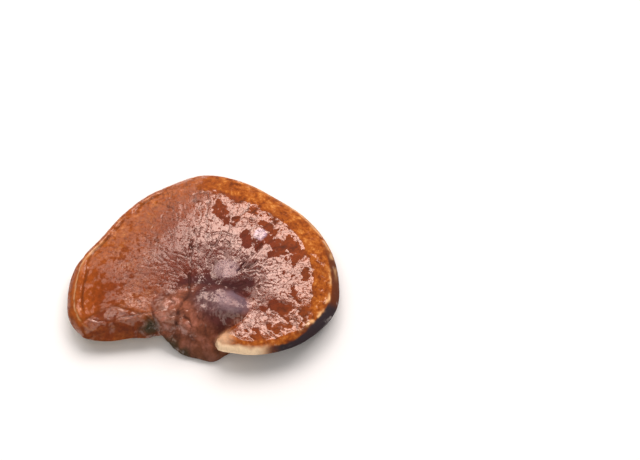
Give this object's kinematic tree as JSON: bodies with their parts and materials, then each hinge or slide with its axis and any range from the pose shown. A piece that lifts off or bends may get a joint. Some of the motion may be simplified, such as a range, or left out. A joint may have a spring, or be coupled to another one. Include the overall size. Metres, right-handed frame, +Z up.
{
  "type": "reishi mushroom",
  "caption": "Dried bracket mushroom: a kidney-shaped lacquered cap with a curled lobe, grown round a short woody stem that is cut off flat.",
  "frame": {"origin": "middle of the stem's flat cut, on the surface that the mushroom lies on", "axes": "+X along the cap's width to the curled lobe, +Y from the stem to the far margin, +Z up out of the cap's lacquered top"},
  "size_m": [0.1201, 0.0895, 0.0184],
  "materials": {
    "lacquered_crust": "glossy natural lacquer, red-brown with a dark purple middle and an ochre margin",
    "stem_bark": "semi-matte dark brown bark with fine cracks"
  },
  "bodies": {
    "root": {"cap": "lacquered_crust", "stem": "stem_bark"}
  },
  "joints": []
}
